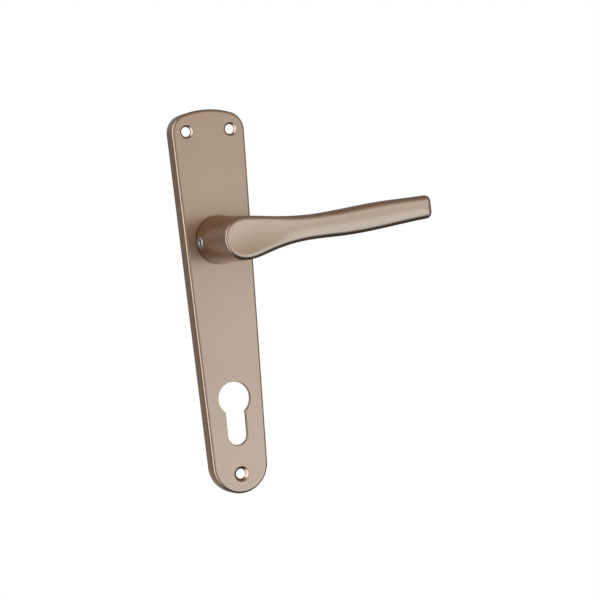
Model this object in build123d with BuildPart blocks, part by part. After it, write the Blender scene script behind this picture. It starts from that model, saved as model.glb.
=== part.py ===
from build123d import *
import os
from math import asin, cos, degrees, radians, sin, sqrt, tan

os.makedirs("parts", exist_ok=True)

# Lever door handle on a long backplate, with a cutout for a euro-profile lock cylinder.
# Millimetres. The origin is where the handle's turning axis meets the door face.
# +X runs along the lever to its free end, -Y runs out of the door to the user, +Z is up.
# A height is a distance in front of the door face, so a height of 8 is the plane Y = -8.

# --- driving dimensions ---------------------------------------------------------------
# backplate, seen from the front
plate_top = 69.5              # crown of the arched top above the turning axis
plate_bottom = -136.0         # lowest point of the round foot
foot_radius = 15.7            # half-round foot
side_taper = 1.615            # degrees that each side leans outward
crown_radius = 45.0           # arch across the top
corner_radius = 10.0          # between the arch and the sides
plate_wall = 2.0              # cast wall of the cover plate
plate_edge = 1.7              # rounding round the front face

# holes in the backplate
screw_hole_radius = 2.6       # clears an M5 fixing screw
top_countersink_radius = 3.6
bottom_countersink_radius = 4.1
top_screw_height = 58.2
top_screw_spacing = 24.8
bottom_screw_height = -125.5
cylinder_distance = 85.0      # turning axis to cylinder axis
cylinder_hole_radius = 9.0    # clears the 17 mm barrel of a euro-profile cylinder
cylinder_slot_width = 11.0    # clears its 10 mm web
cylinder_slot_drop = 19.5     # barrel axis to the centre of the slot's round end

# neck of the lever and its bearing
spigot_radius = 8.0           # turned end of the neck that runs in the bush
spigot_across_flats = 14.0    # drives the spring driver
running_clearance = 0.05      # radial, spigot in bush
bush_wall = 2.0
bush_flange_width = 1.8
bush_flange = 0.6
slide_washer_thickness = 0.3
slide_washer_inset = 0.6      # inside the edge of the neck
shoulder_gap = 0.05           # lever's shoulder above the slide washer

# return spring, its driver and the parts that hold the lever in the plate
wire_diameter = 1.2
spring_turns = 1.5
spring_play = 1.3             # radial, round the retaining ring, for the coil to wind down into
wire_spacing = 0.03           # between neighbouring turns
stack_gap = 0.1               # axial, in front of and behind the spring
spring_eye_clearance = 0.1    # radial, round the spring's bent ends
driver_rim = 3.0              # radial, round the spigot
driver_thickness = 1.0
driver_gap = 0.15             # axial, driver behind the bush flange
lug_half_angle = 8.0
lug_gap = 0.6                 # radial, between the coil and the stop pins
lug_angle = 112.5             # of the lug at rest, counter-clockwise from +X seen from the front
lever_travel = 45.0
stop_gap_angle = 0.5          # between the lug and a stop pin at each end of the travel
stop_pin_radius = 1.2
pin_clearance = 0.01
wave_washer_thickness = 0.5
ring_thickness = 1.0
ring_width = 3.1              # radial, from the bottom of the groove
ring_groove_depth = 0.4
ring_opening = 5.0            # gap between the ring's ends
seat_clearance = 0.1          # radial, for the driver and the washers on the spigot
seat_gap = 0.05               # axial, between the pieces stacked on the spigot
washer_width = 2.4
spigot_end = 0.9              # height of the spigot's end above the door face
spigot_chamfer = 0.4

# backing plate
backing_thickness = 1.5
backing_clearance = 0.15      # all round, inside the cover plate
backing_top = 49.0
backing_bottom = -116.0
backing_corner = 3.0
backing_bore_gap = 1.4        # radial, round the spigot's end
window_margin = 2.9           # cylinder window beyond the cutout in the cover plate
backing_screw_radius = 1.25   # M2.5 countersunk
backing_screw_head = 2.35
backing_screw_cross = 0.6     # width and depth of the driving cross
boss_wall = 1.5
thread_clearance = 0.02
screw_end_gap = 0.5           # below the end of the blind hole
upper_boss = (13.5, 40.0)
lower_boss = (11.5, -60.0)

# lever
lever_length = 109.0          # turning axis to the tip, along the arm
lever_projection = 47.8       # door face to the front of the lever
neck_base_radius = 12.8
head_radius = 11.4
head_drop = 0.8               # of the head's middle under the turning axis
neck_chamfer = 0.3
arm_depth = 13.0              # front to back
arm_rise = 4.2                # degrees that the arm climbs to the tip
arm_drop = 0.85               # of the arm's middle line under the turning axis
# places on the arm's edges: distance along the arm and height above or below its middle line
upper_shoulder = (15.0, 9.25)  # where the head has run into the arm
upper_waist = (37.0, 6.65)     # narrowest place
upper_swell = (82.0, 7.05)     # fullest place
lower_shoulder = (15.0, -9.0)
lower_waist = (32.0, -6.75)
lower_swell = (57.0, -7.6)
tip_half_height = 6.3
tip_corner = 3.4
arm_front_rounding = 3.2
arm_back_rounding = 3.0

# spindle socket and grub screw
spindle_size = 8.0
socket_clearance = 0.1        # across the flats
socket_depth = 36.0           # measured from the spigot's end
grub_radius = 3.0             # M6
grub_height = 13.0            # axis of the screw in front of the door face
grub_hex = 3.0                # across the flats
grub_hex_depth = 3.0
grub_recess = 0.1             # screw's end below the neck's surface
spot_radius = 3.7             # milled seat round the screw
spot_depth = 0.5

# --- worked out from the driving dimensions ---------------------------------------------
spring_pitch = wire_diameter + wire_spacing
spring_height = spring_turns * spring_pitch + wire_diameter
spring_back = backing_thickness + stack_gap
driver_back = spring_back + spring_height + stack_gap
driver_front = driver_back + driver_thickness
flange_back = driver_front + driver_gap
face_inside = flange_back + bush_flange
plate_depth = face_inside + plate_wall
foot_height = plate_bottom + foot_radius
bush_bore = spigot_radius + running_clearance
bush_radius = bush_bore + bush_wall
washer_bore = spigot_radius + seat_clearance
shoulder_height = plate_depth + slide_washer_thickness + shoulder_gap
ring_back = spigot_end + ring_thickness
ring_front = ring_back + ring_thickness
wave_washer_front = ring_front + seat_gap + wave_washer_thickness
groove_radius = spigot_radius - ring_groove_depth
ring_radius = groove_radius + ring_width
washer_radius = washer_bore + washer_width
spring_radius = ring_radius + spring_play + wire_diameter / 2    # to the centre of the wire
stop_pin_circle = spring_radius + wire_diameter / 2 + lug_gap + stop_pin_radius
lug_radius = stop_pin_circle + stop_pin_radius
arm_back = lever_projection - arm_depth
cone_end = lever_projection - arm_front_rounding
socket_half = (spindle_size + socket_clearance) / 2
spring_anchor_angle = lug_angle + 360 * spring_turns
spring_eye_radius = wire_diameter / 2 + spring_eye_clearance
boss_radius = backing_screw_radius + boss_wall
screw_head_depth = backing_screw_head - backing_screw_radius
top_screws = [(side * top_screw_spacing / 2, top_screw_height) for side in (-1, 1)]
bottom_screw = (0, bottom_screw_height)
bosses = [(side * x, z) for x, z in (upper_boss, lower_boss) for side in (-1, 1)]
stop_offset = lug_half_angle + degrees(asin(stop_pin_radius / stop_pin_circle)) + stop_gap_angle
stop_angles = (lug_angle + stop_offset, lug_angle - lever_travel - stop_offset)


def face_plane(height):
    """Plane parallel to the door face: sketch x is +X, sketch y is +Z, extrusion goes to the user."""
    return Plane.XZ.offset(height)


def around(radius, angle):
    """Point on a circle round the turning axis, angle counter-clockwise seen from the front."""
    return radius * cos(radians(angle)), radius * sin(radians(angle))


def side_half_width(height, inset):
    """Half the plate's width at a height: the side is a tangent of the foot circle."""
    radius = foot_radius - inset
    return radius / cos(radians(side_taper)) + (height - foot_height) * tan(radians(side_taper))


def plate_outline(inset):
    """Tapered sides on a half-round foot, closed by an arch with rounded corners, moved in by inset."""
    radius = foot_radius - inset
    arch = crown_radius - inset
    arch_centre = plate_top - crown_radius
    lean = tan(radians(side_taper))
    width = side_half_width(arch_centre, inset)
    rise = (sqrt(arch**2 * (1 + lean**2) - width**2) - width * lean) / (1 + lean**2)
    corner = (width + rise * lean, arch_centre + rise)
    tangent = (radius * cos(radians(side_taper)), foot_height - radius * sin(radians(side_taper)))
    with BuildSketch() as outline:
        with BuildLine():
            ThreePointArc((-tangent[0], tangent[1]), (0, foot_height - radius), tangent)
            Line(tangent, corner)
            ThreePointArc(corner, (0, arch_centre + arch), (-corner[0], corner[1]))
            Line((-corner[0], corner[1]), (-tangent[0], tangent[1]))
        make_face()
        fillet(outline.vertices().sort_by(Axis.Y)[-2:], corner_radius - inset)
    return outline.sketch


def cylinder_profile(margin):
    """Euro-profile outline, grown by margin: a round barrel over a slot with a round end."""
    slot_radius = cylinder_slot_width / 2 + margin
    with BuildSketch() as profile:
        with Locations((0, -cylinder_distance)):
            Circle(cylinder_hole_radius + margin)
        with Locations((0, -cylinder_distance - cylinder_slot_drop)):
            Circle(slot_radius)
        with Locations((0, -cylinder_distance - cylinder_slot_drop / 2)):
            Rectangle(2 * slot_radius, cylinder_slot_drop)
    return profile.sketch


def arm_point(distance, offset):
    """Point at a distance along the rising arm, offset square to its middle line."""
    rise = radians(arm_rise)
    return (
        distance * cos(rise) - offset * sin(rise),
        distance * sin(rise) + offset * cos(rise) - arm_drop,
    )


def ring_sketch(outer, inner):
    """Flat ring round the turning axis."""
    with BuildSketch() as ring:
        Circle(outer)
        Circle(inner, mode=Mode.SUBTRACT)
    return ring.sketch


# --- cover plate: cast shell, open toward the door ---------------------------------------
with BuildPart() as cover_plate:
    with BuildSketch(face_plane(0)):
        add(plate_outline(0))
    extrude(amount=plate_depth)
    fillet(cover_plate.faces().sort_by(Axis.Y)[0].edges(), plate_edge)
    with BuildSketch(face_plane(0)):
        add(plate_outline(plate_wall))
    extrude(amount=face_inside, mode=Mode.SUBTRACT)
    with BuildSketch(face_plane(backing_thickness)):
        with Locations(*bosses):
            Circle(boss_radius)
    extrude(amount=face_inside - backing_thickness)
    with BuildSketch(face_plane(backing_thickness)):
        with Locations(*bosses):
            Circle(backing_screw_radius + thread_clearance)
    extrude(amount=face_inside - backing_thickness, mode=Mode.SUBTRACT)
    with BuildSketch(face_plane(0)):
        Circle(bush_radius)
        add(cylinder_profile(0))
    extrude(amount=plate_depth, mode=Mode.SUBTRACT)
    with Locations(face_plane(plate_depth)):
        with Locations(*top_screws):
            CounterSinkHole(screw_hole_radius, top_countersink_radius)
        with Locations(bottom_screw):
            CounterSinkHole(screw_hole_radius, bottom_countersink_radius)
cover_plate.part.label = "cover_plate"
export_step(cover_plate.part, "parts/cover_plate.step")

# --- backing plate: flat steel, flush with the cover plate's rim --------------------------
with BuildPart() as backing_plate:
    with BuildSketch(face_plane(0)) as backing_outline:
        add(plate_outline(plate_wall + backing_clearance))
        with Locations((0, (backing_top + backing_bottom) / 2)):
            Rectangle(2 * crown_radius, backing_top - backing_bottom, mode=Mode.INTERSECT)
        fillet(backing_outline.vertices(), backing_corner)
    extrude(amount=backing_thickness)
    with BuildSketch(face_plane(0)):
        Circle(spigot_radius + backing_bore_gap)
        add(cylinder_profile(window_margin))
        with Locations(*bosses):
            Circle(backing_screw_radius + thread_clearance)
        with Locations(*[around(stop_pin_circle, angle) for angle in stop_angles]):
            Circle(stop_pin_radius + pin_clearance)
        with Locations(around(spring_radius, spring_anchor_angle)):
            Circle(spring_eye_radius)
    extrude(amount=backing_thickness, mode=Mode.SUBTRACT)
    with BuildSketch(face_plane(0)):
        with Locations(*bosses):
            Circle(backing_screw_head + thread_clearance)
    extrude(amount=screw_head_depth, taper=45, mode=Mode.SUBTRACT)
backing_plate.part.label = "backing_plate"
export_step(backing_plate.part, "parts/backing_plate.step")

# --- four countersunk screws that hold the backing plate on the cover plate's bosses -------
with BuildPart() as backing_screws:
    with BuildSketch(face_plane(0)):
        with Locations(*bosses):
            Circle(backing_screw_head)
    extrude(amount=screw_head_depth, taper=45)
    with BuildSketch(face_plane(0)):
        with Locations(*bosses):
            Circle(backing_screw_radius)
    extrude(amount=face_inside - screw_end_gap)
    with BuildSketch(face_plane(0)):
        with Locations(*bosses):
            Rectangle(backing_screw_head, backing_screw_cross)
            Rectangle(backing_screw_cross, backing_screw_head)
    extrude(amount=backing_screw_cross, mode=Mode.SUBTRACT)
backing_screws.part.label = "backing_screws"
export_step(backing_screws.part, "parts/backing_screws.step")

# --- stop pins: riveted in the backing plate, one at each end of the lug's travel ----------
with BuildPart() as stop_pins:
    with BuildSketch(face_plane(0)):
        with Locations(*[around(stop_pin_circle, angle) for angle in stop_angles]):
            Circle(stop_pin_radius)
    extrude(amount=flange_back)
stop_pins.part.label = "stop_pins"
export_step(stop_pins.part, "parts/stop_pins.step")

# --- neck bush: acetal bearing, pressed into the cover plate from behind -------------------
with BuildPart() as neck_bush:
    with BuildSketch(face_plane(flange_back)):
        add(ring_sketch(bush_radius + bush_flange_width, bush_bore))
    extrude(amount=bush_flange)
    with BuildSketch(face_plane(face_inside)):
        add(ring_sketch(bush_radius, bush_bore))
    extrude(amount=plate_wall)
neck_bush.part.label = "neck_bush"
export_step(neck_bush.part, "parts/neck_bush.step")

# --- slide washer: between the plate's face and the lever's shoulder -----------------------
with BuildPart() as slide_washer:
    with BuildSketch(face_plane(plate_depth)):
        add(ring_sketch(neck_base_radius - slide_washer_inset, washer_bore))
    extrude(amount=slide_washer_thickness)
slide_washer.part.label = "slide_washer"
export_step(slide_washer.part, "parts/slide_washer.step")

# --- return spring: open coil whose bent ends sit in the driver's lug and the backing plate -
coil_front = driver_back - stack_gap - wire_diameter / 2
coil_start = around(spring_radius, lug_angle)
coil_end = around(spring_radius, spring_anchor_angle)
coil_plane = Plane(
    origin=(0, -coil_front, 0),
    x_dir=(coil_start[0], 0, coil_start[1]),
    z_dir=(0, 1, 0),
)
with BuildLine() as coil:
    Helix(spring_pitch, spring_turns * spring_pitch, spring_radius, lefthand=True)
coil_path = coil_plane.location * coil.line
with BuildPart() as return_spring:
    with BuildSketch(Plane(origin=coil_path @ 0, z_dir=coil_path % 0)):
        Circle(wire_diameter / 2)
    sweep(path=coil_path, is_frenet=True)
    with Locations(coil_path @ 0, coil_path @ 1):
        Sphere(wire_diameter / 2)
    with BuildSketch(face_plane(coil_front)):
        with Locations(coil_start):
            Circle(wire_diameter / 2)
    extrude(amount=driver_front - coil_front)
    with BuildSketch(face_plane(coil_front - spring_turns * spring_pitch)):
        with Locations(coil_end):
            Circle(wire_diameter / 2)
    extrude(amount=spring_turns * spring_pitch - coil_front)
return_spring.part.label = "return_spring"
export_step(return_spring.part, "parts/return_spring.step")

# --- spring driver: keyed on the spigot's flats, its lug carries one end of the spring -----
with BuildPart() as spring_driver:
    with BuildSketch(face_plane(driver_back)):
        with BuildLine():
            lug_start = around(lug_radius, lug_angle - lug_half_angle)
            lug_end = around(lug_radius, lug_angle + lug_half_angle)
            Line((0, 0), lug_start)
            ThreePointArc(lug_start, around(lug_radius, lug_angle), lug_end)
            Line(lug_end, (0, 0))
        make_face()
        Circle(spigot_radius + driver_rim)
        with Locations(around(spring_radius, lug_angle)):
            Circle(spring_eye_radius, mode=Mode.SUBTRACT)
    extrude(amount=driver_thickness)
    with BuildSketch(face_plane(driver_back)):
        Circle(washer_bore)
        Rectangle(2 * washer_bore, spigot_across_flats + 2 * seat_gap, mode=Mode.INTERSECT)
    extrude(amount=driver_thickness, mode=Mode.SUBTRACT)
spring_driver.part.label = "spring_driver"
export_step(spring_driver.part, "parts/spring_driver.step")

# --- spacer, wave washer and retaining ring: they hold the lever in the plate --------------
with BuildPart() as spacer:
    with BuildSketch(face_plane(wave_washer_front + seat_gap)):
        add(ring_sketch(washer_radius, washer_bore))
    extrude(amount=driver_back - wave_washer_front - 2 * seat_gap)
spacer.part.label = "spacer"
export_step(spacer.part, "parts/spacer.step")

with BuildPart() as wave_washer:
    with BuildSketch(face_plane(ring_front + seat_gap)):
        add(ring_sketch(washer_radius, washer_bore))
    extrude(amount=wave_washer_thickness)
wave_washer.part.label = "wave_washer"
export_step(wave_washer.part, "parts/wave_washer.step")

with BuildPart() as retaining_ring:
    with BuildSketch(face_plane(ring_back)):
        add(ring_sketch(ring_radius, groove_radius))
        with Locations((0, -groove_radius)):
            Rectangle(ring_opening, 2 * ring_width, mode=Mode.SUBTRACT)
    extrude(amount=ring_thickness)
retaining_ring.part.label = "retaining_ring"
export_step(retaining_ring.part, "parts/retaining_ring.step")

# --- lever: one casting with its neck and spigot -------------------------------------------
screw_side = Vector(-cos(radians(arm_rise)), 0, -sin(radians(arm_rise)))
neck_taper = (neck_base_radius - head_radius) / (cone_end - shoulder_height)
neck_radius = neck_base_radius - neck_taper * (grub_height - shoulder_height)
grub_start = socket_half + grub_radius * sin(radians(arm_rise)) + seat_gap
grub_end = neck_radius - grub_recess


def screw_plane(distance):
    """Plane square to the grub screw, at a distance from the turning axis."""
    return Plane(origin=Vector(0, -grub_height, 0) + screw_side * distance, z_dir=screw_side)


with BuildPart() as lever_handle:
    with BuildSketch(face_plane(arm_back)) as arm_outline:
        with BuildLine():
            upper_places = (upper_shoulder, upper_waist, upper_swell, (lever_length, tip_half_height))
            lower_places = (lower_shoulder, lower_waist, lower_swell, (lever_length, -tip_half_height))
            upper = [arm_point(*place) for place in upper_places]
            lower = [arm_point(*place) for place in lower_places]
            head_top, head_bottom = (0, head_radius - head_drop), (0, -head_radius - head_drop)
            ThreePointArc(head_top, (-head_radius, -head_drop), head_bottom)
            Spline(head_top, *upper, tangents=[(1, 0), arm_point(1, arm_drop)])
            Line(upper[-1], lower[-1])
            Spline(head_bottom, *lower, tangents=[(1, 0), arm_point(1, arm_drop)])
        make_face()
        fillet(arm_outline.vertices().sort_by(Axis.X)[-2:], tip_corner)
    extrude(amount=arm_depth)
    fillet(lever_handle.faces().sort_by(Axis.Y)[0].edges(), arm_front_rounding)
    fillet(lever_handle.faces().sort_by(Axis.Y)[-1].edges(), arm_back_rounding)
    with BuildSketch(Plane.XY):
        with BuildLine():
            Polyline(
                (0, -spigot_end),
                (spigot_radius - spigot_chamfer, -spigot_end),
                (spigot_radius, -spigot_end - spigot_chamfer),
                (spigot_radius, -ring_back + seat_gap),
                (groove_radius, -ring_back + seat_gap),
                (groove_radius, -ring_front - seat_gap),
                (spigot_radius, -ring_front - seat_gap),
                (spigot_radius, -shoulder_height),
                (neck_base_radius - neck_chamfer, -shoulder_height),
                (neck_base_radius, -shoulder_height - neck_chamfer),
                (0, -shoulder_height - neck_chamfer),
                close=True,
            )
        make_face()
    revolve(axis=Axis.Y)
    with BuildSketch(face_plane(shoulder_height + neck_chamfer)):
        Circle(neck_base_radius)
    with BuildSketch(face_plane(cone_end)):
        with Locations((0, -head_drop)):
            Circle(head_radius)
    loft()
    with BuildSketch(face_plane(spigot_end)):
        with Locations((0, spigot_across_flats), (0, -spigot_across_flats)):
            Rectangle(2 * spigot_radius, spigot_across_flats)
    extrude(amount=driver_front + seat_gap - spigot_end, mode=Mode.SUBTRACT)
    with BuildSketch(face_plane(spigot_end)):
        Rectangle(2 * socket_half, 2 * socket_half)
    extrude(amount=socket_depth, mode=Mode.SUBTRACT)
    with BuildSketch(screw_plane(0)):
        Circle(grub_radius + thread_clearance)
    extrude(amount=neck_base_radius, mode=Mode.SUBTRACT)
    with BuildSketch(screw_plane(neck_radius - spot_depth)):
        Circle(spot_radius)
    extrude(amount=2 * spot_depth, mode=Mode.SUBTRACT)
lever_handle.part.label = "lever_handle"
export_step(lever_handle.part, "parts/lever_handle.step")

# --- grub screw: clamps the spindle, set in the side of the neck away from the arm ----------
with BuildPart() as grub_screw:
    with BuildSketch(screw_plane(grub_start)):
        Circle(grub_radius)
    extrude(amount=grub_end - grub_start)
    with BuildSketch(screw_plane(grub_end)):
        RegularPolygon(grub_hex / 2, 6, major_radius=False)
    extrude(amount=-grub_hex_depth, mode=Mode.SUBTRACT)
grub_screw.part.label = "grub_screw"
export_step(grub_screw.part, "parts/grub_screw.step")
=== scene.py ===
import bmesh
import bpy
import numpy as np
from mathutils import Matrix, Vector


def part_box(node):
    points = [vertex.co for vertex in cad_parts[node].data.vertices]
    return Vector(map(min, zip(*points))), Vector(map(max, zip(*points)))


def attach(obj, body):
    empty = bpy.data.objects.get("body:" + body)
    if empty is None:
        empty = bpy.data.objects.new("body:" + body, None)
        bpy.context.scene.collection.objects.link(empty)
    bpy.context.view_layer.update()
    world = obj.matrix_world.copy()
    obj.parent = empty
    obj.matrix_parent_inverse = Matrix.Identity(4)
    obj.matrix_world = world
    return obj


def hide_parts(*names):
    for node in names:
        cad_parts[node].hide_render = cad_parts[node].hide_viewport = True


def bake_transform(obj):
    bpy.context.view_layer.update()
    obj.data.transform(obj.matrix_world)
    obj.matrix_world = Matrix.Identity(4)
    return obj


# Satin bronze lever handle on a long backplate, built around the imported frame.
# Shapes are worked out in millimetres and put in the meshes in metres. +X runs along the lever,
# -Y out of the door to the user, +Z up. A height is a distance in front of the door face.

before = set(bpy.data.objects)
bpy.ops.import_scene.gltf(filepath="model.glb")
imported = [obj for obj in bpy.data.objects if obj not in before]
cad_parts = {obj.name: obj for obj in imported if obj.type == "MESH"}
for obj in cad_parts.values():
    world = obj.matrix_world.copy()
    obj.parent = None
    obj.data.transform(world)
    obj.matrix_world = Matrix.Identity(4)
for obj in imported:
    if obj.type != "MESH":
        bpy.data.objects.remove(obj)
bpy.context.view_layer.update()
MM = 0.001


def span(node, axis):
    """Lowest and highest coordinate of a frame node along an axis, in millimetres."""
    low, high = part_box(node)
    return low[axis] / MM, high[axis] / MM


# --- sizes from the frame, then the sizes that only the finish needs --------------------------
plate_depth = -span("cover_plate", 1)[0]
plate_bottom, plate_top = span("cover_plate", 2)
backing_thickness = -span("backing_plate", 1)[0]
driver_front = -span("spring_driver", 1)[0]
ring_back = -span("retaining_ring", 1)[1]
ring_front = -span("retaining_ring", 1)[0]
lever_front = -span("lever_handle", 1)[0]
spigot_end = -span("lever_handle", 1)[1]

plate_wall = 2.0
face_inside = plate_depth - plate_wall
plate_edge = 1.7              # rounding round the front face
rim_rounding = 0.3            # of the rim that lies on the door
inner_corner = 0.8
foot_radius = 15.7
side_lean = np.radians(1.615)
crown_radius = 45.0
corner_radius = 10.0
screw_hole_radius = 2.6
top_countersink = 3.6
foot_countersink = 4.1
top_screw = (12.4, 58.2)
foot_screw = (0.0, -125.5)
barrel_centre = -85.0
barrel_radius = 9.0
slot_half = 5.5
slot_end = -104.5
keyhole_eye = -90.0           # a point from which the whole edge of barrel and slot is seen
neck_hole_radius = 10.05
boss_radius = 2.75
boss_bore = 1.27
boss_places = ((13.5, 40.0), (-13.5, 40.0), (11.5, -60.0), (-11.5, -60.0))

head_radius = 11.4
head_drop = 0.8
neck_base = 12.8
shoulder = 8.845
arm_back = 34.8
arm_length = 109.0
arm_rise = np.radians(4.2)
arm_drop = 0.85
tip_corner = 3.4
tip_half = 6.3
middle_stop = 6.0             # the arm's middle line ends this far before the tip
front_rounding = 3.2
back_rounding = 3.2
head_rounding = 1.2           # of the head's edge on the side away from the arm
root_hollow = 4.0             # where the arm runs into the neck
neck_chamfer = 0.3
neck_end = lever_front - front_rounding
# places on the arm's edges: distance along the arm and offset from its middle line
upper_stations = ((15.0, 9.25), (37.0, 6.65), (82.0, 7.05), (arm_length, tip_half))
lower_stations = ((15.0, -9.0), (32.0, -6.75), (57.0, -7.6), (arm_length, -tip_half))
spigot_radius = 8.0
spigot_flat = 7.0
groove_radius = 7.6
socket_half = 4.05
socket_depth = 36.0
grub_height = 13.0
grub_radius = 3.0
spot_radius = 3.7             # milled seat round the screw
spot_depth = 0.5
grub_end = 12.537             # distances of the screw's ends from the turning axis
grub_start = 4.32


# --- meshes ------------------------------------------------------------------------------------
def place(x, height, z):
    """Points of the frame from across, height in front of the door face, and up."""
    return np.stack(np.broadcast_arrays(x, -np.asarray(height, float), z), axis=-1).astype(float)


def steps(low, high, count):
    """Even steps from low to high, both ends counted."""
    return np.linspace(low, high, count)


def ease(value, low=0.0, high=1.0):
    """0 under low, 1 over high, and 3t^2 - 2t^3 between them."""
    t = np.clip((np.asarray(value, float) - low) / (high - low), 0, 1)
    return t * t * (3 - 2 * t)


def eased_table(where, stations, values):
    """Value at each place: from one station's value to the next with no slope at the stations."""
    stations, values = np.asarray(stations, float), np.asarray(values, float)
    k = np.clip(np.searchsorted(stations, where) - 1, 0, len(stations) - 2)
    t = ease((where - stations[k]) / (stations[k + 1] - stations[k]))
    return values[k] + (values[k + 1] - values[k]) * t


def grid_faces(rows, columns, first, keep):
    """Quads between neighbouring rows and columns, the last column joined to the first."""
    index = first + np.arange(rows * columns).reshape(rows, columns)
    index = np.column_stack([index, index[:, 0]])
    quads = np.stack([index[:-1, :-1], index[:-1, 1:], index[1:, 1:], index[1:, :-1]], axis=-1)
    return quads[keep] if keep is not None else quads.reshape(-1, 4)


def make_piece(name, sheets, materials, crease=34.0):
    """One closed object from grids of points, their shared rows welded and their faces turned outward.
    A sheet is (points in rows and columns, which quads to keep, number of its material)."""
    points, faces, finish, first = [], [], [], 0
    for grid, keep, number in sheets:
        points.append(grid.reshape(-1, 3))
        faces.append(grid_faces(grid.shape[0], grid.shape[1], first, keep))
        finish.append(np.full(len(faces[-1]), number))
        first += grid.shape[0] * grid.shape[1]
    mesh = bpy.data.meshes.new(name)
    mesh.from_pydata((np.concatenate(points) * MM).tolist(), [], np.concatenate(faces).tolist())
    mesh.polygons.foreach_set("material_index", np.concatenate(finish).astype(np.int32))
    shell = bmesh.new()
    shell.from_mesh(mesh)
    bmesh.ops.remove_doubles(shell, verts=shell.verts, dist=3e-6)
    bmesh.ops.dissolve_degenerate(shell, edges=shell.edges, dist=1e-7)
    bmesh.ops.recalc_face_normals(shell, faces=shell.faces)
    shell.to_mesh(mesh)
    shell.free()
    mesh.shade_smooth()
    mesh.set_sharp_from_angle(angle=np.radians(crease))
    for material in materials:
        mesh.materials.append(material)
    piece = bpy.data.objects.new(name, mesh)
    bpy.context.scene.collection.objects.link(piece)
    return piece


def turned(profile, angles, centre=(0.0, 0.0)):
    """A profile of (radius, height) turned round an axis square to the door: x = r cos a, z = r sin a."""
    radius, height = np.asarray(profile, float).T
    return place(
        centre[0] + radius[:, None] * np.cos(angles),
        height[:, None] + 0 * angles,
        centre[1] + radius[:, None] * np.sin(angles),
    )


# --- backplate ---------------------------------------------------------------------------------
foot_z = plate_bottom + foot_radius
crown_z = plate_top - crown_radius
cuts = (-116.0, -66.0, 40.0)    # between the foot's cell, the keyhole's, the neck's and the top's
side_levels = np.concatenate([
    steps(cuts[0], cuts[1], 23), steps(cuts[1], cuts[2], 29)[1:], [46.0, 51.0],
])
FOOT_STEPS = 20
foot_cut, keyhole_cut, neck_cut = FOOT_STEPS + 1, FOOT_STEPS + 23, FOOT_STEPS + 51


def corner_centre():
    """Centre of the top corner's arc: corner_radius inside both the leaning side and the crown."""
    reach, side = crown_radius - corner_radius, foot_radius - corner_radius
    lean, rise = np.tan(side_lean), crown_z - foot_z
    across = side / np.cos(side_lean) + rise * lean
    up = (np.sqrt(reach**2 * (1 + lean**2) - across**2) - across * lean) / (1 + lean**2)
    return across + up * lean, crown_z + up


def arc(centre, radius, start, end, count):
    """Points of a circular arc between two angles."""
    angles = steps(start, end, count)
    return np.column_stack([centre[0] + radius * np.cos(angles), centre[1] + radius * np.sin(angles)])


def right_half(inset):
    """Right half of the plate's outline moved in by inset, from the foot's lowest point to the crown:
    foot arc, leaning side, corner arc, crown arc, each a tangent of the next."""
    centre = corner_centre()
    turn = np.arctan2(centre[1] - crown_z, centre[0])
    radius = foot_radius - inset
    side_x = radius / np.cos(side_lean) + (side_levels - foot_z) * np.tan(side_lean)
    return np.concatenate([
        arc((0, foot_z), radius, -np.pi / 2, -side_lean, FOOT_STEPS + 1),
        np.column_stack([side_x, side_levels]),
        arc(centre, corner_radius - inset, -side_lean, turn, 10),
        arc((0, crown_z), crown_radius - inset, turn, np.pi / 2, 15)[1:],
    ])


def mirrored(right):
    """Closed loop from its right half, run up, and that half's mirror image, run down."""
    return np.concatenate([right, right[-2:0:-1] * (-1, 1)])


def edge_profile():
    """(inset, height) across the plate's rim: front rounding, side, rim on the door, inside wall and its
    corner, the roundings being quarter circles. A row close to a rounding keeps the flat beside it flat."""
    turn = steps(0, np.pi / 2, 8)
    small = steps(0, np.pi / 2, 4)
    rounding = np.column_stack([
        plate_edge * (1 - np.sin(turn)), plate_depth - plate_edge * (1 - np.cos(turn)),
    ])
    rim = rim_rounding * np.column_stack([1 - np.cos(small), 1 - np.sin(small)])
    inside = np.column_stack([
        plate_wall + inner_corner * (1 - np.cos(small)),
        face_inside - inner_corner * (1 - np.sin(small)),
    ])
    return np.concatenate([
        [(plate_edge + 0.22, plate_depth)], rounding,
        [(0, plate_depth - plate_edge - 0.3), (0, rim_rounding + 0.25)], rim,
        [(plate_wall - 0.2, 0), (plate_wall, 0.2), (plate_wall, face_inside - inner_corner - 0.2)],
        inside, [(plate_wall + inner_corner + 0.15, face_inside)],
    ])


def band_cell(right, low, high):
    """Closed loop round a band of the plate between two cuts, counter-clockwise from its lower right."""
    side = right[low:high + 1]
    left = side[::-1] * (-1, 1)
    top = np.linspace(side[-1], left[0], 25)[1:-1]
    bottom = np.linspace(left[-1], side[0], 25)[1:-1] if low else np.empty((0, 2))
    return np.concatenate([side, top, left[:None if low else -1], bottom])


def corner_cell(right):
    """Closed loop round the upper right part of the plate, from the neck's band to the crown."""
    side = right[neck_cut:]
    middle = (0.0, side[0, 1])
    return np.concatenate([
        side,
        np.linspace(side[-1], middle, 16)[1:-1],
        np.linspace(middle, side[0], 13)[:-1],
    ])


def round_hole(angle, radius):
    """A circle seen from its own centre."""
    return radius + 0 * angle


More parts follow.
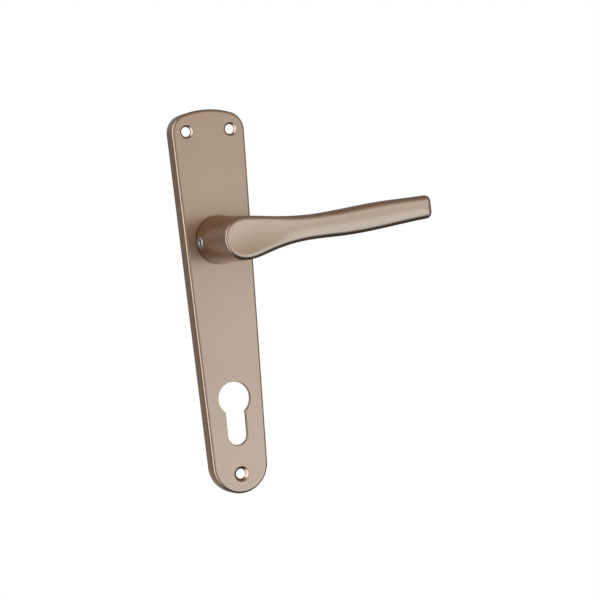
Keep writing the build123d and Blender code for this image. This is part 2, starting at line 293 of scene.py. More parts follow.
def keyhole(angle, grown):
    """Distance from the keyhole's eye to the edge of barrel and slot, grown outward: the farther of the
    barrel's circle and the slot, whose sides end in a half circle."""
    across, up = np.cos(angle), np.sin(angle)
    barrel, half = barrel_radius + grown, slot_half + grown
    off = keyhole_eye - barrel_centre
    to_barrel = -off * up + np.sqrt((off * up) ** 2 - off**2 + barrel**2)
    drop = keyhole_eye - slot_end
    to_side = half / np.maximum(np.abs(across), 1e-6)
    inside = np.maximum((drop * up) ** 2 - drop**2 + half**2, 0)
    to_end = -drop * up + np.sqrt(inside)
    to_slot = np.where(up < 0, np.where(keyhole_eye + to_side * up >= slot_end, to_side, to_end), 0)
    return np.maximum(to_barrel, to_slot)


keyhole_corner = np.arctan2(
    barrel_centre - np.sqrt(barrel_radius**2 - slot_half**2) - keyhole_eye, slot_half
)


def snapped(angles, exact):
    """Angles with the one nearest to each exact angle moved onto it."""
    angles = angles.copy()
    for value in exact:
        gap = np.abs(np.angle(np.exp(1j * (angles - value))))
        angles[np.argmin(gap)] = value
    return angles


def hole_cell(front, back, centre, edge, rows, exact=()):
    """Plate round one hole: the cell's front loop, the hole's rows from the front face to the inside, and
    the cell's back loop. A row is (growth or radius, height), and a hole point lies on the ray from the
    hole's centre to its loop point."""
    centre = np.asarray(centre, float)
    angle = snapped(np.arctan2(front[:, 1] - centre[1], front[:, 0] - centre[0]), exact)
    sheet = [place(front[:, 0], plate_depth, front[:, 1])]
    for size, height in rows:
        reach = edge(angle, size)
        sheet.append(place(centre[0] + reach * np.cos(angle), height, centre[1] + reach * np.sin(angle)))
    sheet.append(place(back[:, 0], face_inside, back[:, 1]))
    return np.stack(sheet)


def screw_rows(mouth):
    """Rows of a screw hole: a 45 degree countersink of the given mouth radius, then the bore."""
    sink = mouth - screw_hole_radius
    return [
        (mouth + 0.35, plate_depth), (mouth + 0.1, plate_depth),
        (mouth - 0.05, plate_depth - 0.08), (screw_hole_radius + 0.15, plate_depth - sink + 0.1),
        (screw_hole_radius, plate_depth - sink - 0.08), (screw_hole_radius, face_inside + 0.1),
        (screw_hole_radius + 0.1, face_inside), (screw_hole_radius + 0.4, face_inside),
    ]


def backplate_sheets():
    """The cover plate's rim, five cells round its holes, and four bosses on its inside."""
    profile = edge_profile()
    loops = [(mirrored(right_half(inset)), height) for inset, height in profile]
    rim = np.stack([place(loop[:, 0], height, loop[:, 1]) for loop, height in loops])
    front, back = right_half(profile[0, 0]), right_half(profile[-1, 0])
    keyhole_rows = [
        (0.7, plate_depth), (0.42, plate_depth), (0.2, plate_depth - 0.06), (0.06, plate_depth - 0.2),
        (0, plate_depth - 0.42), (0, face_inside + 0.15), (0.15, face_inside), (0.5, face_inside),
    ]
    neck_rows = [
        (neck_hole_radius + 0.4, plate_depth), (neck_hole_radius, plate_depth),
        (neck_hole_radius, face_inside), (neck_hole_radius + 0.4, face_inside),
    ]
    foot = hole_cell(
        band_cell(front, 0, foot_cut), band_cell(back, 0, foot_cut),
        foot_screw, round_hole, screw_rows(foot_countersink),
    )
    lock = hole_cell(
        band_cell(front, foot_cut, keyhole_cut), band_cell(back, foot_cut, keyhole_cut),
        (0, keyhole_eye), keyhole, keyhole_rows, (keyhole_corner, np.pi - keyhole_corner),
    )
    neck = hole_cell(
        band_cell(front, keyhole_cut, neck_cut), band_cell(back, keyhole_cut, neck_cut),
        (0, 0), round_hole, neck_rows,
    )
    top = hole_cell(
        corner_cell(front), corner_cell(back), top_screw, round_hole, screw_rows(top_countersink)
    )
    sunk, boss_end = 0.4, backing_thickness + 0.02
    boss = [
        (0, face_inside + sunk), (boss_radius, face_inside + sunk), (boss_radius, boss_end + 0.18),
        (boss_radius - 0.15, boss_end), (boss_bore + 0.23, boss_end), (boss_bore, boss_end + 0.23),
        (boss_bore, face_inside - sunk), (0, face_inside - sunk),
    ]
    around = steps(0, 2 * np.pi, 33)[:-1]
    bosses = [turned(boss, around, centre) for centre in boss_places]
    return [(sheet, None, 0) for sheet in (rim, foot, lock, neck, top, top * (-1, 1, 1), *bosses)]


# --- lever ---------------------------------------------------------------------------------------
TIP_STEPS, CORNER_STEPS, EDGE_STEPS, HEAD_STEPS = 5, 8, 62, 25
COLUMNS = 2 * (TIP_STEPS + CORNER_STEPS + EDGE_STEPS + HEAD_STEPS)
SEAT_ROWS = 3
WINDOW_HALF = 12              # columns of the neck to each side of the grub screw that its seat replaces
neck_levels = np.concatenate([[20.0, 18.8], steps(17.7, shoulder + neck_chamfer, 11)])
run_stations = (0.0, 0.14, 0.33, 0.62, 1.0)    # shares of the arm's run where its section is given
screw_axis = np.array([np.cos(np.pi + arm_rise), np.sin(np.pi + arm_rise)])
screw_across = np.array([-screw_axis[1], screw_axis[0]])


def to_arm(x, z):
    """Distance along the rising arm and offset above its middle line, from across and up."""
    c, s = np.cos(arm_rise), np.sin(arm_rise)
    return x * c + (z + arm_drop) * s, -x * s + (z + arm_drop) * c


def from_arm(points):
    """Across and up, from distance along the arm and offset above its middle line."""
    c, s = np.cos(arm_rise), np.sin(arm_rise)
    d, o = points[..., 0], points[..., 1]
    return np.stack([d * c - o * s, d * s + o * c - arm_drop], axis=-1)


def flowing_curve(points, start, end, count):
    """Cubic through the points with unbroken curvature: the inner tangents solve the tridiagonal equations
    h1 m0 + 2 (h0 + h1) m1 + h0 m2 = 3 (h0 s1 + h1 s0), the end tangents are given, h is the chord."""
    p = np.asarray(points, float)
    h = np.linalg.norm(np.diff(p, axis=0), axis=1)
    slope = np.diff(p, axis=0) / h[:, None]
    n = len(p)
    system, right = np.eye(n), np.zeros((n, 2))
    right[0], right[-1] = start, end
    inner = np.arange(1, n - 1)
    system[inner, inner - 1], system[inner, inner] = h[1:], 2 * (h[:-1] + h[1:])
    system[inner, inner + 1] = h[:-1]
    right[inner] = 3 * (h[:-1, None] * slope[1:] + h[1:, None] * slope[:-1])
    m = np.linalg.solve(system, right)
    knots = np.concatenate([[0], np.cumsum(h)])
    at = steps(0, knots[-1], count)
    k = np.clip(np.searchsorted(knots, at) - 1, 0, n - 2)
    t = ((at - knots[k]) / h[k])[:, None]
    return (
        (2 * t**3 - 3 * t**2 + 1) * p[k] + (t**3 - 2 * t**2 + t) * h[k, None] * m[k]
        + (3 * t**2 - 2 * t**3) * p[k + 1] + (t**3 - t**2) * h[k, None] * m[k + 1]
    )


def arm_edge(side, share):
    """Upper (side 1) or lower (side -1) edge of the arm at shares of its run, from the head to the tip's
    corner: a flowing curve through its stations, read at each distance along the arm."""
    start = to_arm(0.0, side * head_radius - head_drop)
    stations = upper_stations if side > 0 else lower_stations
    curve = flowing_curve([start, *stations], (np.cos(arm_rise), -np.sin(arm_rise)), (1, 0), 600)
    distance = start[0] + (arm_length - tip_corner - start[0]) * share
    return np.column_stack([distance, np.interp(distance, curve[:, 0], curve[:, 1])])


def lever_outline():
    """Outline of head and arm seen from the front, counter-clockwise from the middle of the tip, with each
    point's share of the run from the head (0) to the tip (1) and its side, 1 above and -1 below. The points
    crowd towards the head by the power of the even steps."""
    crowding = 1.3
    share = steps(1, 0, EDGE_STEPS + 1) ** crowding
    straight = tip_half - tip_corner
    corner = arc((arm_length - tip_corner, straight), tip_corner, 0, np.pi / 2, CORNER_STEPS + 1)
    tip = np.column_stack([np.full(TIP_STEPS, arm_length), steps(0, straight, TIP_STEPS + 1)[:-1]])
    upper = np.concatenate([tip, corner[:-1], arm_edge(1, share)])
    lower = np.concatenate([tip * (1, -1), corner[:-1] * (1, -1), arm_edge(-1, share)])[::-1]
    head = arc((0, -head_drop), head_radius, np.pi / 2, 3 * np.pi / 2, 2 * HEAD_STEPS + 1)[1:-1]
    outline = np.concatenate([from_arm(upper), head, from_arm(lower)[:-1]])
    ends = np.ones(TIP_STEPS + CORNER_STEPS)
    run = np.concatenate([ends, share, np.zeros(len(head)), share[::-1], ends])[:-1]
    side = np.concatenate([
        steps(0, 1, len(ends)), np.ones(len(share)), np.cos(steps(0, np.pi, len(head))),
        -np.ones(len(share)), -steps(1, 0, len(ends)),
    ])[:-1]
    return outline, run, side


def neck_share(height):
    """How far a height lies up the neck, 0 at its foot and 1 at the head."""
    return (height - shoulder - neck_chamfer) / (neck_end - shoulder - neck_chamfer)


def neck_ring(radius, height, angle):
    """Points round the neck, whose middle sinks from the turning axis to the head's middle."""
    return place(radius * np.cos(angle), height, radius * np.sin(angle) - head_drop * neck_share(height))


def neck_radius(height):
    """The neck is a cone from its base at the plate to the head."""
    return neck_base + (head_radius - neck_base) * neck_share(height)


def lever_sheets():
    """Head, arm, neck, spigot and square socket as one surface of rays from the arm's middle line: over the
    front, round the edges, under the arm to the neck, down the neck and the spigot and up the socket.
    The front falls from the middle line by crown t^2, and the edge is a quarter circle that starts at the
    front's slope there. Wall, underside and root are straight between quarter circles, and the neck is a
    cone whose rays turn slowly to even spacing. A window round the grub screw is left for its seat."""
    outline, run, side = lever_outline()
    along = np.roll(outline, -1, axis=0) - np.roll(outline, 1, axis=0)
    along /= np.linalg.norm(along, axis=1)[:, None]
    inward = np.column_stack([-along[:, 1], along[:, 0]])
    middle = from_arm(np.column_stack([(arm_length - middle_stop) * run, np.zeros(COLUMNS)]))
    head_middle = np.array([0, -head_drop])
    middle = middle + (head_middle - from_arm(np.zeros(2))) * (1 - run)[:, None]

    up = ease(side, -1, 1)
    front = lever_front - eased_table(run, run_stations, (0.5, 0.38, 0.4, 0.2, 0.1))
    crown_above = eased_table(run, run_stations, (-0.45, -0.28, -0.1, -0.05, -0.05))
    crown_below = eased_table(run, run_stations, (-0.45, -0.15, 0.45, 0.7, 0.6))
    bend_above = eased_table(run, run_stations, (2.2, 2.0, 2.7, 3.1, 2.8))
    bend_below = eased_table(run, run_stations, (2.6, 3.2, 2.9, 3.1, 3.3))
    crown = crown_below + (crown_above - crown_below) * up
    bend = bend_below + (bend_above - bend_below) * up
    bend -= (bend - head_rounding) * (1 - side**2) * (1 - run)

    width = np.linalg.norm(middle - outline, axis=1) - bend
    edge_tilt = np.arctan2(2 * crown, width)
    shoulder_line = outline + (bend * (1 - np.sin(edge_tilt)))[:, None] * inward
    rim_height = front - crown
    rows = []
    for share in steps(1, 0, 10):
        spot = shoulder_line + (middle - shoulder_line) * share
        rows.append(place(spot[:, 0], front - crown * (1 - share) ** 2, spot[:, 1]))
    for t in steps(0, 1, 10)[1:]:
        tilt = edge_tilt + (np.pi / 2 - edge_tilt) * t
        spot = outline + (bend * (1 - np.sin(tilt)))[:, None] * inward
        rows.append(place(spot[:, 0], rim_height - bend * (np.cos(edge_tilt) - np.cos(tilt)), spot[:, 1]))
    wall_top = rim_height - bend * np.cos(edge_tilt)

    reach = np.linalg.norm(outline - head_middle, axis=1) - head_radius
    drafted = 1 - ease(reach, 0, 2)
    spread = drafted * (neck_radius(arm_back) - head_radius)
    wall_foot = outline - spread[:, None] * inward
    room = np.maximum(reach + spread - (neck_radius(arm_back) - head_radius), 0)
    back_bend = back_rounding * np.tanh(0.5 * room / back_rounding)
    hollow = root_hollow * np.tanh(0.5 * room / root_hollow)
    for share in (0.04, 0.35, 0.7, 0.97, 1.0):
        spot = outline + (wall_foot - outline) * share
        rows.append(place(spot[:, 0], wall_top + (arm_back + back_bend - wall_top) * share, spot[:, 1]))
    for turn in steps(0, np.pi / 2, 8)[1:]:
        spot = wall_foot + (back_bend * (1 - np.cos(turn)))[:, None] * inward
        rows.append(place(spot[:, 0], arm_back + back_bend * (1 - np.sin(turn)), spot[:, 1]))
    under = wall_foot + back_bend[:, None] * inward
    root_middle = -head_drop * neck_share(arm_back)
    ray = np.unwrap(np.arctan2(under[:, 1] - root_middle, under[:, 0]))
    root = neck_radius(arm_back) + hollow
    root = np.column_stack([root * np.cos(ray), root * np.sin(ray) + root_middle])
    for share in (0.04, 0.2, 0.6, 0.96):
        spot = under + (root - under) * share
        rows.append(place(spot[:, 0], arm_back, spot[:, 1]))
    for turn in steps(0, np.pi / 2, 8):
        height = arm_back - hollow * (1 - np.cos(turn))
        rows.append(neck_ring(neck_radius(height) + hollow * (1 - np.sin(turn)), height, ray))

    flat_turn = np.arcsin(spigot_flat / spigot_radius)
    even = steps(0, 2 * np.pi, COLUMNS + 1)[:-1]
    even = snapped(even, [q + s * flat_turn for q in (0, np.pi) for s in (1, -1)])
    even = np.where(even < 0, even + 2 * np.pi, even)
    even[0] = 0
    neck_top = arm_back - hollow
    for share in steps(0, 1, 17)[1:]:
        height = neck_top + (neck_levels[0] - neck_top) * share
        turn = ray + (even - ray) * ease(share)
        rows.append(neck_ring(neck_radius(height), height, turn))
    first_level = len(rows) - 1
    for height in neck_levels[1:]:
        rows.append(neck_ring(neck_radius(height), height, even))

    def key(radius):
        """A circle cut by the two flats of the spigot."""
        return np.minimum(radius, spigot_flat / np.maximum(np.abs(np.sin(even)), 1e-6))

    def square(half):
        """The spindle's square, seen from its centre."""
        return half / np.maximum(np.abs(np.cos(even)), np.abs(np.sin(even)))

    round_bar = 0 * even + spigot_radius
    for radius, height in (
        (0 * even + neck_base - neck_chamfer, shoulder),
        (round_bar + 0.3, shoulder), (round_bar, shoulder - 0.1),
        (round_bar, driver_front + 0.05), (key(spigot_radius), driver_front + 0.05),
        (key(spigot_radius), ring_front + 0.05), (key(groove_radius), ring_front + 0.05),
        (key(groove_radius), ring_back - 0.05), (key(spigot_radius), ring_back - 0.05),
        (key(spigot_radius), spigot_end + 0.4), (key(spigot_radius - 0.4), spigot_end),
        (square(socket_half + 0.3), spigot_end), (square(socket_half), spigot_end + 0.3),
        (square(socket_half), spigot_end + socket_depth), (0 * even, spigot_end + socket_depth),
    ):
        rows.append(place(radius * np.cos(even), height, radius * np.sin(even)))
    surface = np.stack(rows)

    low, high = first_level + 2, first_level + len(neck_levels) - 1
    centre = int(round((np.pi + arm_rise) / (2 * np.pi) * COLUMNS))
    left, right = centre - WINDOW_HALF, centre + WINDOW_HALF
    keep = np.ones((len(rows) - 1, COLUMNS), bool)
    keep[low:high, left:right] = False
    window = np.concatenate([
        surface[low, left:right], surface[low:high, right],
        surface[high, right:left:-1], surface[high:low:-1, left],
    ])
    seat = grub_seat(window)
    return [(surface, keep, 0), (seat[:SEAT_ROWS + 1], None, 0), (seat[SEAT_ROWS:], None, 1)]


def along_screw(out, across, rise):
    """Points by distance out from the turning axis along the grub screw, across it, and to the front."""
    out, across, rise = np.broadcast_arrays(out, across, rise)
    return place(
        out * screw_axis[0] + across * screw_across[0], grub_height + rise,
        out * screw_axis[1] + across * screw_across[1],
    )


def grub_seat(window):
    """Neck round the grub screw: from the window's rim over the cone, where out^2 = radius^2 - across^2, to
    the milled seat's circle, then down to the flat seat and along the screw's bore to its blind end."""
    across = window[:, 0] * screw_across[0] + window[:, 2] * screw_across[1]
    rise = -window[:, 1] - grub_height
    turn = np.arctan2(rise, across)
    rows = [window]
    for share, radius in ((0.5, spot_radius + 0.12), (1.0, spot_radius + 0.12), (1.0, spot_radius)):
        a = across + (radius * np.cos(turn) - across) * share
        r = rise + (radius * np.sin(turn) - rise) * share
        out = np.sqrt(neck_radius(grub_height + r) ** 2 - a**2) - (0.1 if radius == spot_radius else 0)
        rows.append(along_screw(out, a, r))
    seat = neck_radius(grub_height) - spot_depth
    bore, blind_end = grub_radius + 0.02, grub_start - 0.05
    for radius, out in (
        (spot_radius, seat), (bore + 0.1, seat), (bore, seat - 0.12), (bore, blind_end), (0, blind_end),
    ):
        rows.append(along_screw(out, radius * np.cos(turn), radius * np.sin(turn)))
    return np.stack(rows)


def grub_screw_sheets():
    """Grub screw: a bar of thread grooves with bevelled ends, and a hexagon socket, r = 1.5 / cos(a) in
    each sixth of a turn, with a drilled cone at its bottom."""
    turn = steps(0, 2 * np.pi, 73)[:-1]
    pitch, crest, valley = 1.0, grub_radius, grub_radius - 0.3
    thread = [
        (r, x) for start in np.arange(grub_start + 0.6, grub_end - 1.2, pitch)
        for r, x in ((crest, start), (crest, start + 0.2), (valley, start + 0.6), (crest, start + 0.98))
    ]
    bar = [(0, grub_start), (2.3, grub_start), (2.7, grub_start + 0.3), *thread,
           (crest, grub_end - 0.4), (crest - 0.4, grub_end), (2.15, grub_end)]
    rows = [along_screw(x, r * np.cos(turn), r * np.sin(turn)) for r, x in bar]
    sector = np.mod(turn, np.pi / 3) - np.pi / 6
    hexagon = 1.5 / np.cos(sector)
    for grown, x in ((0.16, grub_end), (0, grub_end - 0.16), (0, grub_end - 3.0)):
        rows.append(along_screw(x, (hexagon + grown) * np.cos(turn), (hexagon + grown) * np.sin(turn)))
    rows.append(along_screw(grub_end - 3.8, 0 * turn, 0 * turn))
    return [(np.stack(rows), None, 0)]


# --- return spring ---------------------------------------------------------------------------------
wire_radius = 0.6
coil_radius = 12.6
coil_front, coil_back = 4.045, 2.2
coil_turns = 1.5
lug_angle = np.radians(112.5)


def spring_sheets():
    """Return spring: a round wire along a path drawn flat, distance round the axis against height, and then
    rolled on the coil's circle: leg from the door, quarter bend, coil, quarter bend, leg to the driver."""
    bend = 0.9
    length = coil_turns * 2 * np.pi * coil_radius
    quarter = steps(0, np.pi / 2, 9)
    path = np.concatenate([
        np.column_stack([np.full(5, length), steps(0.05, coil_back - bend, 6)[:-1]]),
        np.column_stack([length - bend * (1 - np.cos(quarter)), coil_back - bend * (1 - np.sin(quarter))]),
        np.column_stack([steps(length - bend, bend, 182), steps(coil_back, coil_front, 182)])[1:-1],
        np.column_stack([bend * (1 - np.sin(quarter)), coil_front + bend * (1 - np.cos(quarter))]),
        np.column_stack([np.zeros(5), steps(coil_front + bend, driver_front, 6)[1:]]),
    ])
    turn = lug_angle + path[:, 0] / coil_radius
    centre = place(coil_radius * np.cos(turn), path[:, 1], coil_radius * np.sin(turn))
    tangent = np.gradient(centre, axis=0)
    tangent /= np.linalg.norm(tangent, axis=1)[:, None]
    outward = place(np.cos(turn), 0, np.sin(turn))
    sideways = np.cross(tangent, outward)
    ring = steps(0, 2 * np.pi, 15)[:-1]
    tube = centre[:, None] + wire_radius * (
        np.cos(ring)[None, :, None] * outward[:, None] + np.sin(ring)[None, :, None] * sideways[:, None]
    )
    ends = [np.repeat(centre[k][None, None], len(ring), axis=1) for k in (0, -1)]
    return [(np.concatenate([ends[0], tube, ends[1]]), None, 0)]


# --- materials -------------------------------------------------------------------------------------
class Nodes:
    """Adds nodes to a tree and links them: values go on sockets, sockets are linked."""

    def __init__(self, tree):
        self.tree = tree

    def add(self, kind, settings=None, **inputs):
        """A new node with its settings and its inputs, an underscore standing for a space."""
        node = self.tree.nodes.new(kind)
        for key, value in (settings or {}).items():
            setattr(node, key, value)
        for key, value in inputs.items():
            self.set(node, key.replace("_", " "), value)
        return node

    def set(self, node, key, value):
        """Gives a node's input, by name or number, a value or another node's output."""
        socket = node.inputs[int(key)] if key.isdigit() else node.inputs[key]
        if isinstance(value, bpy.types.NodeSocket):
            self.tree.links.new(value, socket)
        else:
            socket.default_value = value

    def math(self, operation, a, b=0.0, clamp=False):
        """One operation on two numbers."""
        node = self.add("ShaderNodeMath", {"operation": operation, "use_clamp": clamp})
        self.set(node, "0", a)
        self.set(node, "1", b)
        return node.outputs[0]

    def mix(self, share, a, b):
        """Colour a turned into colour b by a share."""
        node = self.add("ShaderNodeMix", {"data_type": "RGBA"})
        self.set(node, "0", share)
        self.set(node, "6", a)
        self.set(node, "7", b)
        return node.outputs[2]


def shared_effect(name, inputs, outputs):
    """An empty shader node group with named inputs (kind, name, value) and outputs (kind, name)."""
    group = bpy.data.node_groups.new(name, "ShaderNodeTree")
    for kind, label, value in inputs:
        socket = group.interface.new_socket(label, in_out="INPUT", socket_type="NodeSocket" + kind)
        if value is not None:
            socket.default_value = value
    for kind, label in outputs:
        group.interface.new_socket(label, in_out="OUTPUT", socket_type="NodeSocket" + kind)
    nodes = Nodes(group)
    return group, nodes, nodes.add("NodeGroupInput"), nodes.add("NodeGroupOutput")


def make_blast_grain():
    """Bead-blasted skin: two sizes of fine noise for the height, and a soft mask for the roughness."""
    group, n, given, out = shared_effect(
        "blast_grain",
        [("Vector", "Place", None), ("Float", "Fineness", 3500.0)],
        [("Float", "Height"), ("Float", "Mask")],
    )
    fine = n.add(
        "ShaderNodeTexNoise", Vector=given.outputs["Place"], Scale=given.outputs["Fineness"], Detail=3.0,
    )
    coarse = n.add(
        "ShaderNodeTexNoise", Vector=given.outputs["Place"],
        Scale=n.math("MULTIPLY", given.outputs["Fineness"], 0.22), Detail=2.0,
    )
    fine_part = n.math("MULTIPLY", fine.outputs[0], 0.65)
    n.set(out, "Height", n.math("ADD", fine_part, n.math("MULTIPLY", coarse.outputs[0], 0.35)))
    n.set(out, "Mask", coarse.outputs[0])
    return group


def make_cloudy_tone():
    """Slow drift between two tones of one colour, as an anodising bath leaves it."""
    group, n, given, out = shared_effect(
        "cloudy_tone",
        [("Vector", "Place", None), ("Float", "Size", 40.0), ("Color", "Tone A", (1, 1, 1, 1)),
         ("Color", "Tone B", (1, 1, 1, 1))],
        [("Color", "Colour")],
    )
    cloud = n.add(
        "ShaderNodeTexNoise", Vector=given.outputs["Place"], Scale=given.outputs["Size"], Detail=3.0,
    )
    share = n.add("ShaderNodeMapRange", {"interpolation_type": "SMOOTHSTEP"}, From_Min=0.3, From_Max=0.7)
    n.set(share, "Value", cloud.outputs[0])
    n.set(out, "Colour", n.mix(share.outputs[0], given.outputs["Tone A"], given.outputs["Tone B"]))
    return group


def make_edge_wear_and_highlight():
    """Mask of edges lightened, partly as wear from hands and partly as a painted highlight: where the
    surface bends within a short reach, broken up by noise."""
    group, n, given, out = shared_effect(
        "edge_wear_and_highlight",
        [("Vector", "Place", None), ("Float", "Size", 300.0), ("Float", "Amount", 0.5)],
        [("Float", "Mask")],
    )
    soft = n.add("ShaderNodeBevel", {"samples": 4}, Radius=0.0006)
    true = n.add("ShaderNodeNewGeometry")
    dot = n.add("ShaderNodeVectorMath", {"operation": "DOT_PRODUCT"})
    n.set(dot, "0", soft.outputs[0])
    n.set(dot, "1", true.outputs["Normal"])
    bent = n.add("ShaderNodeMapRange", {"interpolation_type": "SMOOTHSTEP"}, From_Min=0.995, From_Max=0.9)
    n.set(bent, "Value", dot.outputs["Value"])
    patch = n.add(
        "ShaderNodeTexNoise", Vector=given.outputs["Place"], Scale=given.outputs["Size"], Detail=4.0,
    )
    broken = n.add("ShaderNodeMapRange", From_Min=0.35, From_Max=0.65)
    n.set(broken, "Value", patch.outputs[0])
    rubbed_and_highlighted = n.math("MULTIPLY", bent.outputs[0], broken.outputs[0])
    n.set(out, "Mask", n.math("MULTIPLY", rubbed_and_highlighted, given.outputs["Amount"], clamp=True))
    return group


def make_crevice_shade():
    """Painted shade: share of a tone left in corners and narrow gaps, by how much open sky they see: 1 on
    open surfaces.
    """
    group, n, given, out = shared_effect(
        "crevice_shade", [("Float", "Reach", 0.002), ("Float", "Darkest", 0.5)], [("Float", "Shade")],
    )
    open_sky = n.add("ShaderNodeAmbientOcclusion", {"samples": 6}, Distance=given.outputs["Reach"])
    shade = n.add(
        "ShaderNodeMapRange", {"interpolation_type": "SMOOTHSTEP"}, From_Min=0.35, From_Max=0.85,
        To_Min=given.outputs["Darkest"],
    )
    n.set(shade, "Value", open_sky.outputs["AO"])
    n.set(out, "Shade", shade.outputs[0])
    return group


blast_grain, cloudy_tone = make_blast_grain(), make_cloudy_tone()
edge_wear_and_highlight, crevice_shade = make_edge_wear_and_highlight(), make_crevice_shade()


def make_finish(
    name, tone_a, tone_b, rubbed_and_highlighted, metallic, rough, cloud, fineness, depth, rub_and_highlight, coat=0.0, coat_rough=0.3,
):
    """Finish of one metal or plastic: a cloudy tone between two colours, edges lightened towards a third as
    wear and painted highlight, painted shade in crevices, grained roughness and a grain bump of a depth in
    millimetres."""
    rough_spread, rub_polish = 0.012, 0.06
    material = bpy.data.materials.new(name)
    material.use_nodes = True
    n = Nodes(material.node_tree)
    n.tree.nodes.clear()
    where = n.add("ShaderNodeTexCoord").outputs["Object"]
    grain = n.add("ShaderNodeGroup", {"node_tree": blast_grain}, Place=where, Fineness=fineness)
    tone = n.add("ShaderNodeGroup", {"node_tree": cloudy_tone}, Place=where, Size=cloud)
    n.set(tone, "Tone A", (*tone_a, 1))
    n.set(tone, "Tone B", (*tone_b, 1))
    edge = n.add("ShaderNodeGroup", {"node_tree": edge_wear_and_highlight}, Place=where, Amount=rub_and_highlight)
    speck = n.add("ShaderNodeMapRange", From_Min=0.3, From_Max=0.7, To_Min=0.98, To_Max=1.02)
    n.set(speck, "Value", grain.outputs["Height"])
    # edges lightened towards the edge colour: part wear, part painted highlight
    worn_and_highlighted = n.mix(edge.outputs["Mask"], tone.outputs["Colour"], (*rubbed_and_highlighted, 1))
    colour = n.add("ShaderNodeMix", {"data_type": "RGBA", "blend_type": "MULTIPLY"})
    n.set(colour, "0", 1.0)
    n.set(colour, "6", worn_and_highlighted)
    # painted shade: the colour darkened in corners and gaps that see little open sky
    crevice = n.add("ShaderNodeGroup", {"node_tree": crevice_shade}, Darkest=0.4)
    n.set(colour, "7", n.math("MULTIPLY", speck.outputs[0], crevice.outputs["Shade"]))
    roughness = n.add(
        "ShaderNodeMapRange", From_Min=0.3, From_Max=0.7,
        To_Min=rough - rough_spread, To_Max=rough + rough_spread,
    )
    n.set(roughness, "Value", grain.outputs["Mask"])
    polish = n.math("MULTIPLY", edge.outputs["Mask"], rub_polish)
    smoother = n.math("SUBTRACT", roughness.outputs[0], polish)
    bump = n.add("ShaderNodeBump", Strength=0.5, Distance=depth * MM, Height=grain.outputs["Height"])
    shader = n.add(
        "ShaderNodeBsdfPrincipled", Base_Color=colour.outputs[2], Metallic=metallic, Roughness=smoother,
        Normal=bump.outputs[0], Coat_Weight=coat, Coat_Roughness=coat_rough,
    )
    output = n.add("ShaderNodeOutputMaterial")
    n.set(output, "Surface", shader.outputs[0])
    return material


# the third colour of each finish is its edge colour, part wear and part painted highlight
bronze = make_finish(
    "satin_bronze_aluminium", (0.515, 0.340, 0.215), (0.492, 0.322, 0.203), (0.62, 0.48, 0.38),
    metallic=1.0, rough=0.30, cloud=22.0, fineness=3200.0, depth=0.003, rub_and_highlight=0.30,
    coat=0.10, coat_rough=0.35,
)
zinc = make_finish(
    "zinc_plated_steel", (0.64, 0.61, 0.56), (0.56, 0.54, 0.50), (0.74, 0.72, 0.68),
    metallic=1.0, rough=0.42, cloud=90.0, fineness=1400.0, depth=0.012, rub_and_highlight=0.4,
)
spring_steel = make_finish(
    "oiled_spring_steel", (0.30, 0.29, 0.28), (0.22, 0.215, 0.21), (0.48, 0.47, 0.46),
    metallic=1.0, rough=0.30, cloud=220.0, fineness=1800.0, depth=0.006, rub_and_highlight=0.5,
    coat=0.2, coat_rough=0.15,
)
acetal = make_finish(
    "white_acetal", (0.76, 0.75, 0.71), (0.70, 0.69, 0.65), (0.82, 0.81, 0.78),
    metallic=0.0, rough=0.42, cloud=120.0, fineness=900.0, depth=0.015, rub_and_highlight=0.3,
)


# --- pieces ----------------------------------------------------------------------------------------
backplate = make_piece("backplate", backplate_sheets(), (bronze,))
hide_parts("cover_plate")
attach(backplate, "plate")

lever = make_piece("lever", lever_sheets(), (bronze, zinc))
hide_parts("lever_handle")
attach(lever, "lever")

screw = make_piece("neck_grub_screw", grub_screw_sheets(), (zinc,), crease=28)
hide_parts("grub_screw")
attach(screw, "lever")

spring = make_piece("coil_spring", spring_sheets(), (spring_steel,), crease=50)
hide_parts("return_spring")
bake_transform(spring)

for node, finish in {
    "backing_plate": zinc, "backing_screws": zinc, "stop_pins": zinc, "spring_driver": zinc,
    "wave_washer": spring_steel, "retaining_ring": spring_steel,
    "neck_bush": acetal, "slide_washer": acetal, "spacer": acetal,
}.items():
    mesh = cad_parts[node].data
    mesh.materials.clear()
    mesh.materials.append(finish)


# --- floor, light and camera -------------------------------------------------------------------------
def white_surface(name, brightness):
    """A matt white that shows at an even brightness."""
    material = bpy.data.materials.new(name)
    material.use_nodes = True
    n = Nodes(material.node_tree)
    n.tree.nodes.clear()
    glow = n.add("ShaderNodeEmission", Color=(1, 1, 1, 1), Strength=brightness)
    output = n.add("ShaderNodeOutputMaterial")
    n.set(output, "Surface", glow.outputs[0])
    return material


floor_mesh = bpy.data.meshes.new("floor")
floor_half, floor_drop = 6.0, 0.05
floor_z = plate_bottom * MM - floor_drop
floor_corners = [(x * floor_half, y * floor_half, floor_z) for x, y in ((-1, -1), (1, -1), (1, 1), (-1, 1))]
floor_mesh.from_pydata(floor_corners, [], [(0, 1, 2, 3)])
floor_mesh.materials.append(white_surface("pale_floor", 1.0))
floor = bpy.data.objects.new("floor", floor_mesh)
bpy.context.scene.collection.objects.link(floor)
floor.visible_diffuse = floor.visible_glossy = floor.visible_shadow = False

world = bpy.data.worlds.new("studio")
bpy.context.scene.world = world
world.use_nodes = True
w = Nodes(world.node_tree)
w.tree.nodes.clear()
way = w.add("ShaderNodeTexCoord").outputs["Generated"]


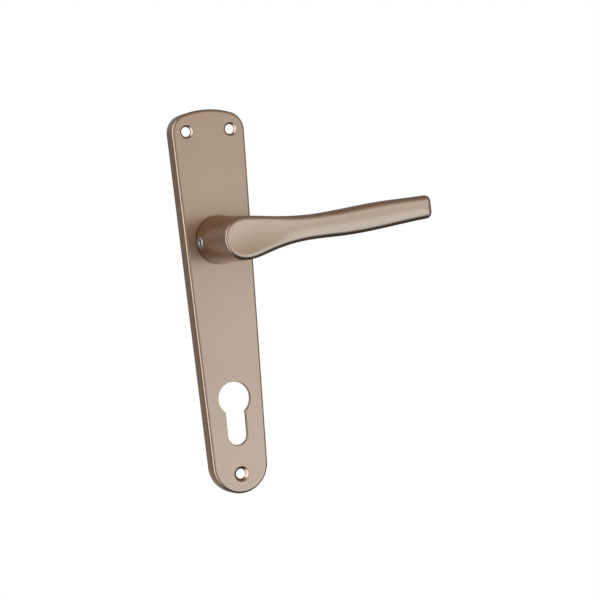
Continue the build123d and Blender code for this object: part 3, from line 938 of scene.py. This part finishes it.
def lobe(towards, wide, narrow, strength, tint):
    """Soft patch of light in the room: full within one angle of a direction, gone beyond another."""
    direction = Vector(towards).normalized()
    dot = w.add("ShaderNodeVectorMath", {"operation": "DOT_PRODUCT"})
    w.set(dot, "0", way)
    w.set(dot, "1", direction)
    spread = w.add(
        "ShaderNodeMapRange", {"interpolation_type": "SMOOTHSTEP"},
        From_Min=float(np.cos(np.radians(wide))), From_Max=float(np.cos(np.radians(narrow))),
        To_Max=strength,
    )
    w.set(spread, "Value", dot.outputs["Value"])
    patch = w.add("ShaderNodeVectorMath", {"operation": "SCALE"}, Scale=spread.outputs[0])
    w.set(patch, "0", tint)
    return patch.outputs[0]


def held(patch, value, low, high):
    """A patch of light faded in between two values of a direction's number."""
    fade = w.add("ShaderNodeMapRange", {"interpolation_type": "SMOOTHSTEP"}, From_Min=low, From_Max=high)
    w.set(fade, "Value", value)
    scaled = w.add("ShaderNodeVectorMath", {"operation": "SCALE"}, Scale=fade.outputs[0])
    w.set(scaled, "0", patch)
    return scaled.outputs[0]


# the room itself, from straight down (0) over the horizon (0.5) to straight up (1)
way_up = w.add("ShaderNodeSeparateXYZ")
w.set(way_up, "0", way)
room = w.add("ShaderNodeValToRGB")
room.color_ramp.interpolation = "EASE"
room_tones = [
    (0.0, (0.06, 0.055, 0.05)), (0.28, (0.10, 0.09, 0.085)), (0.47, (0.24, 0.223, 0.21)),
    (0.68, (0.35, 0.35, 0.38)), (1.0, (0.27, 0.27, 0.29)),
]
for level, tint in room_tones[2:]:
    room.color_ramp.elements.new(0.5)
for element, (level, tint) in zip(room.color_ramp.elements, room_tones):
    element.position, element.color = level, (*tint, 1)
w.set(room, "0", w.math("ADD", w.math("MULTIPLY", way_up.outputs[2], 0.5), 0.5))
total = room.outputs[0]

# soft boxes: low in front, straight in front, behind and below, and an upright strip at the left
across_strip = w.add("ShaderNodeVectorMath", {"operation": "DOT_PRODUCT"})
w.set(across_strip, "0", way)
w.set(across_strip, "1", Vector((0.48, -0.877, 0.0)))
soft_boxes = (
    held(lobe((0.48, -0.80, -0.42), 38, 8, 1.25, (0.66, 0.99, 1.46)), way_up.outputs[2], -0.78, -0.50),
    lobe((0.35, -0.93, 0.0), 50, 5, 0.29, (1.0, 0.97, 0.92)),
    lobe((-0.1, 0.80, -0.60), 42, 8, 0.30, (1.0, 0.92, 0.84)),
    held(
        lobe((-0.877, -0.48, 0.0), 62, 30, 2.7, (0.80, 0.98, 1.30)),
        w.math("ABSOLUTE", across_strip.outputs["Value"]), 0.34, 0.12,
    ),
)
for patch in soft_boxes:
    gather = w.add("ShaderNodeVectorMath", {"operation": "ADD"})
    w.set(gather, "0", total)
    w.set(gather, "1", patch)
    total = gather.outputs[0]

# the camera sees plain white, and everything else sees the room
lit = w.add("ShaderNodeBackground", Color=total)
seen = w.add("ShaderNodeBackground", Color=(1, 1, 1, 1), Strength=1.0)
choose = w.add("ShaderNodeMixShader")
w.set(choose, "0", w.add("ShaderNodeLightPath").outputs["Is Camera Ray"])
w.set(choose, "1", lit.outputs[0])
w.set(choose, "2", seen.outputs[0])
w.set(w.add("ShaderNodeOutputWorld"), "Surface", choose.outputs[0])

bpy.context.scene.view_settings.view_transform = "Standard"

camera = bpy.data.objects.new("camera", bpy.data.cameras.new("camera"))
bpy.context.scene.collection.objects.link(camera)
bpy.context.scene.camera = camera
camera.data.sensor_width = 36.0
camera.data.lens = 111.8
camera.data.shift_x, camera.data.shift_y = -0.0004, 0.0008
camera.data.clip_start, camera.data.clip_end = 0.05, 50.0
right_way = Vector((0.91563, -0.39058, -0.09518)).normalized()
view_way = Vector((0.38961, 0.92051, -0.02936)).normalized()
up_way = right_way.cross(view_way).normalized()
camera.matrix_world = Matrix.Translation(Vector((-0.34944, -0.93639, -0.00727))) @ Matrix(
    (right_way, up_way, -view_way)
).transposed().to_4x4()
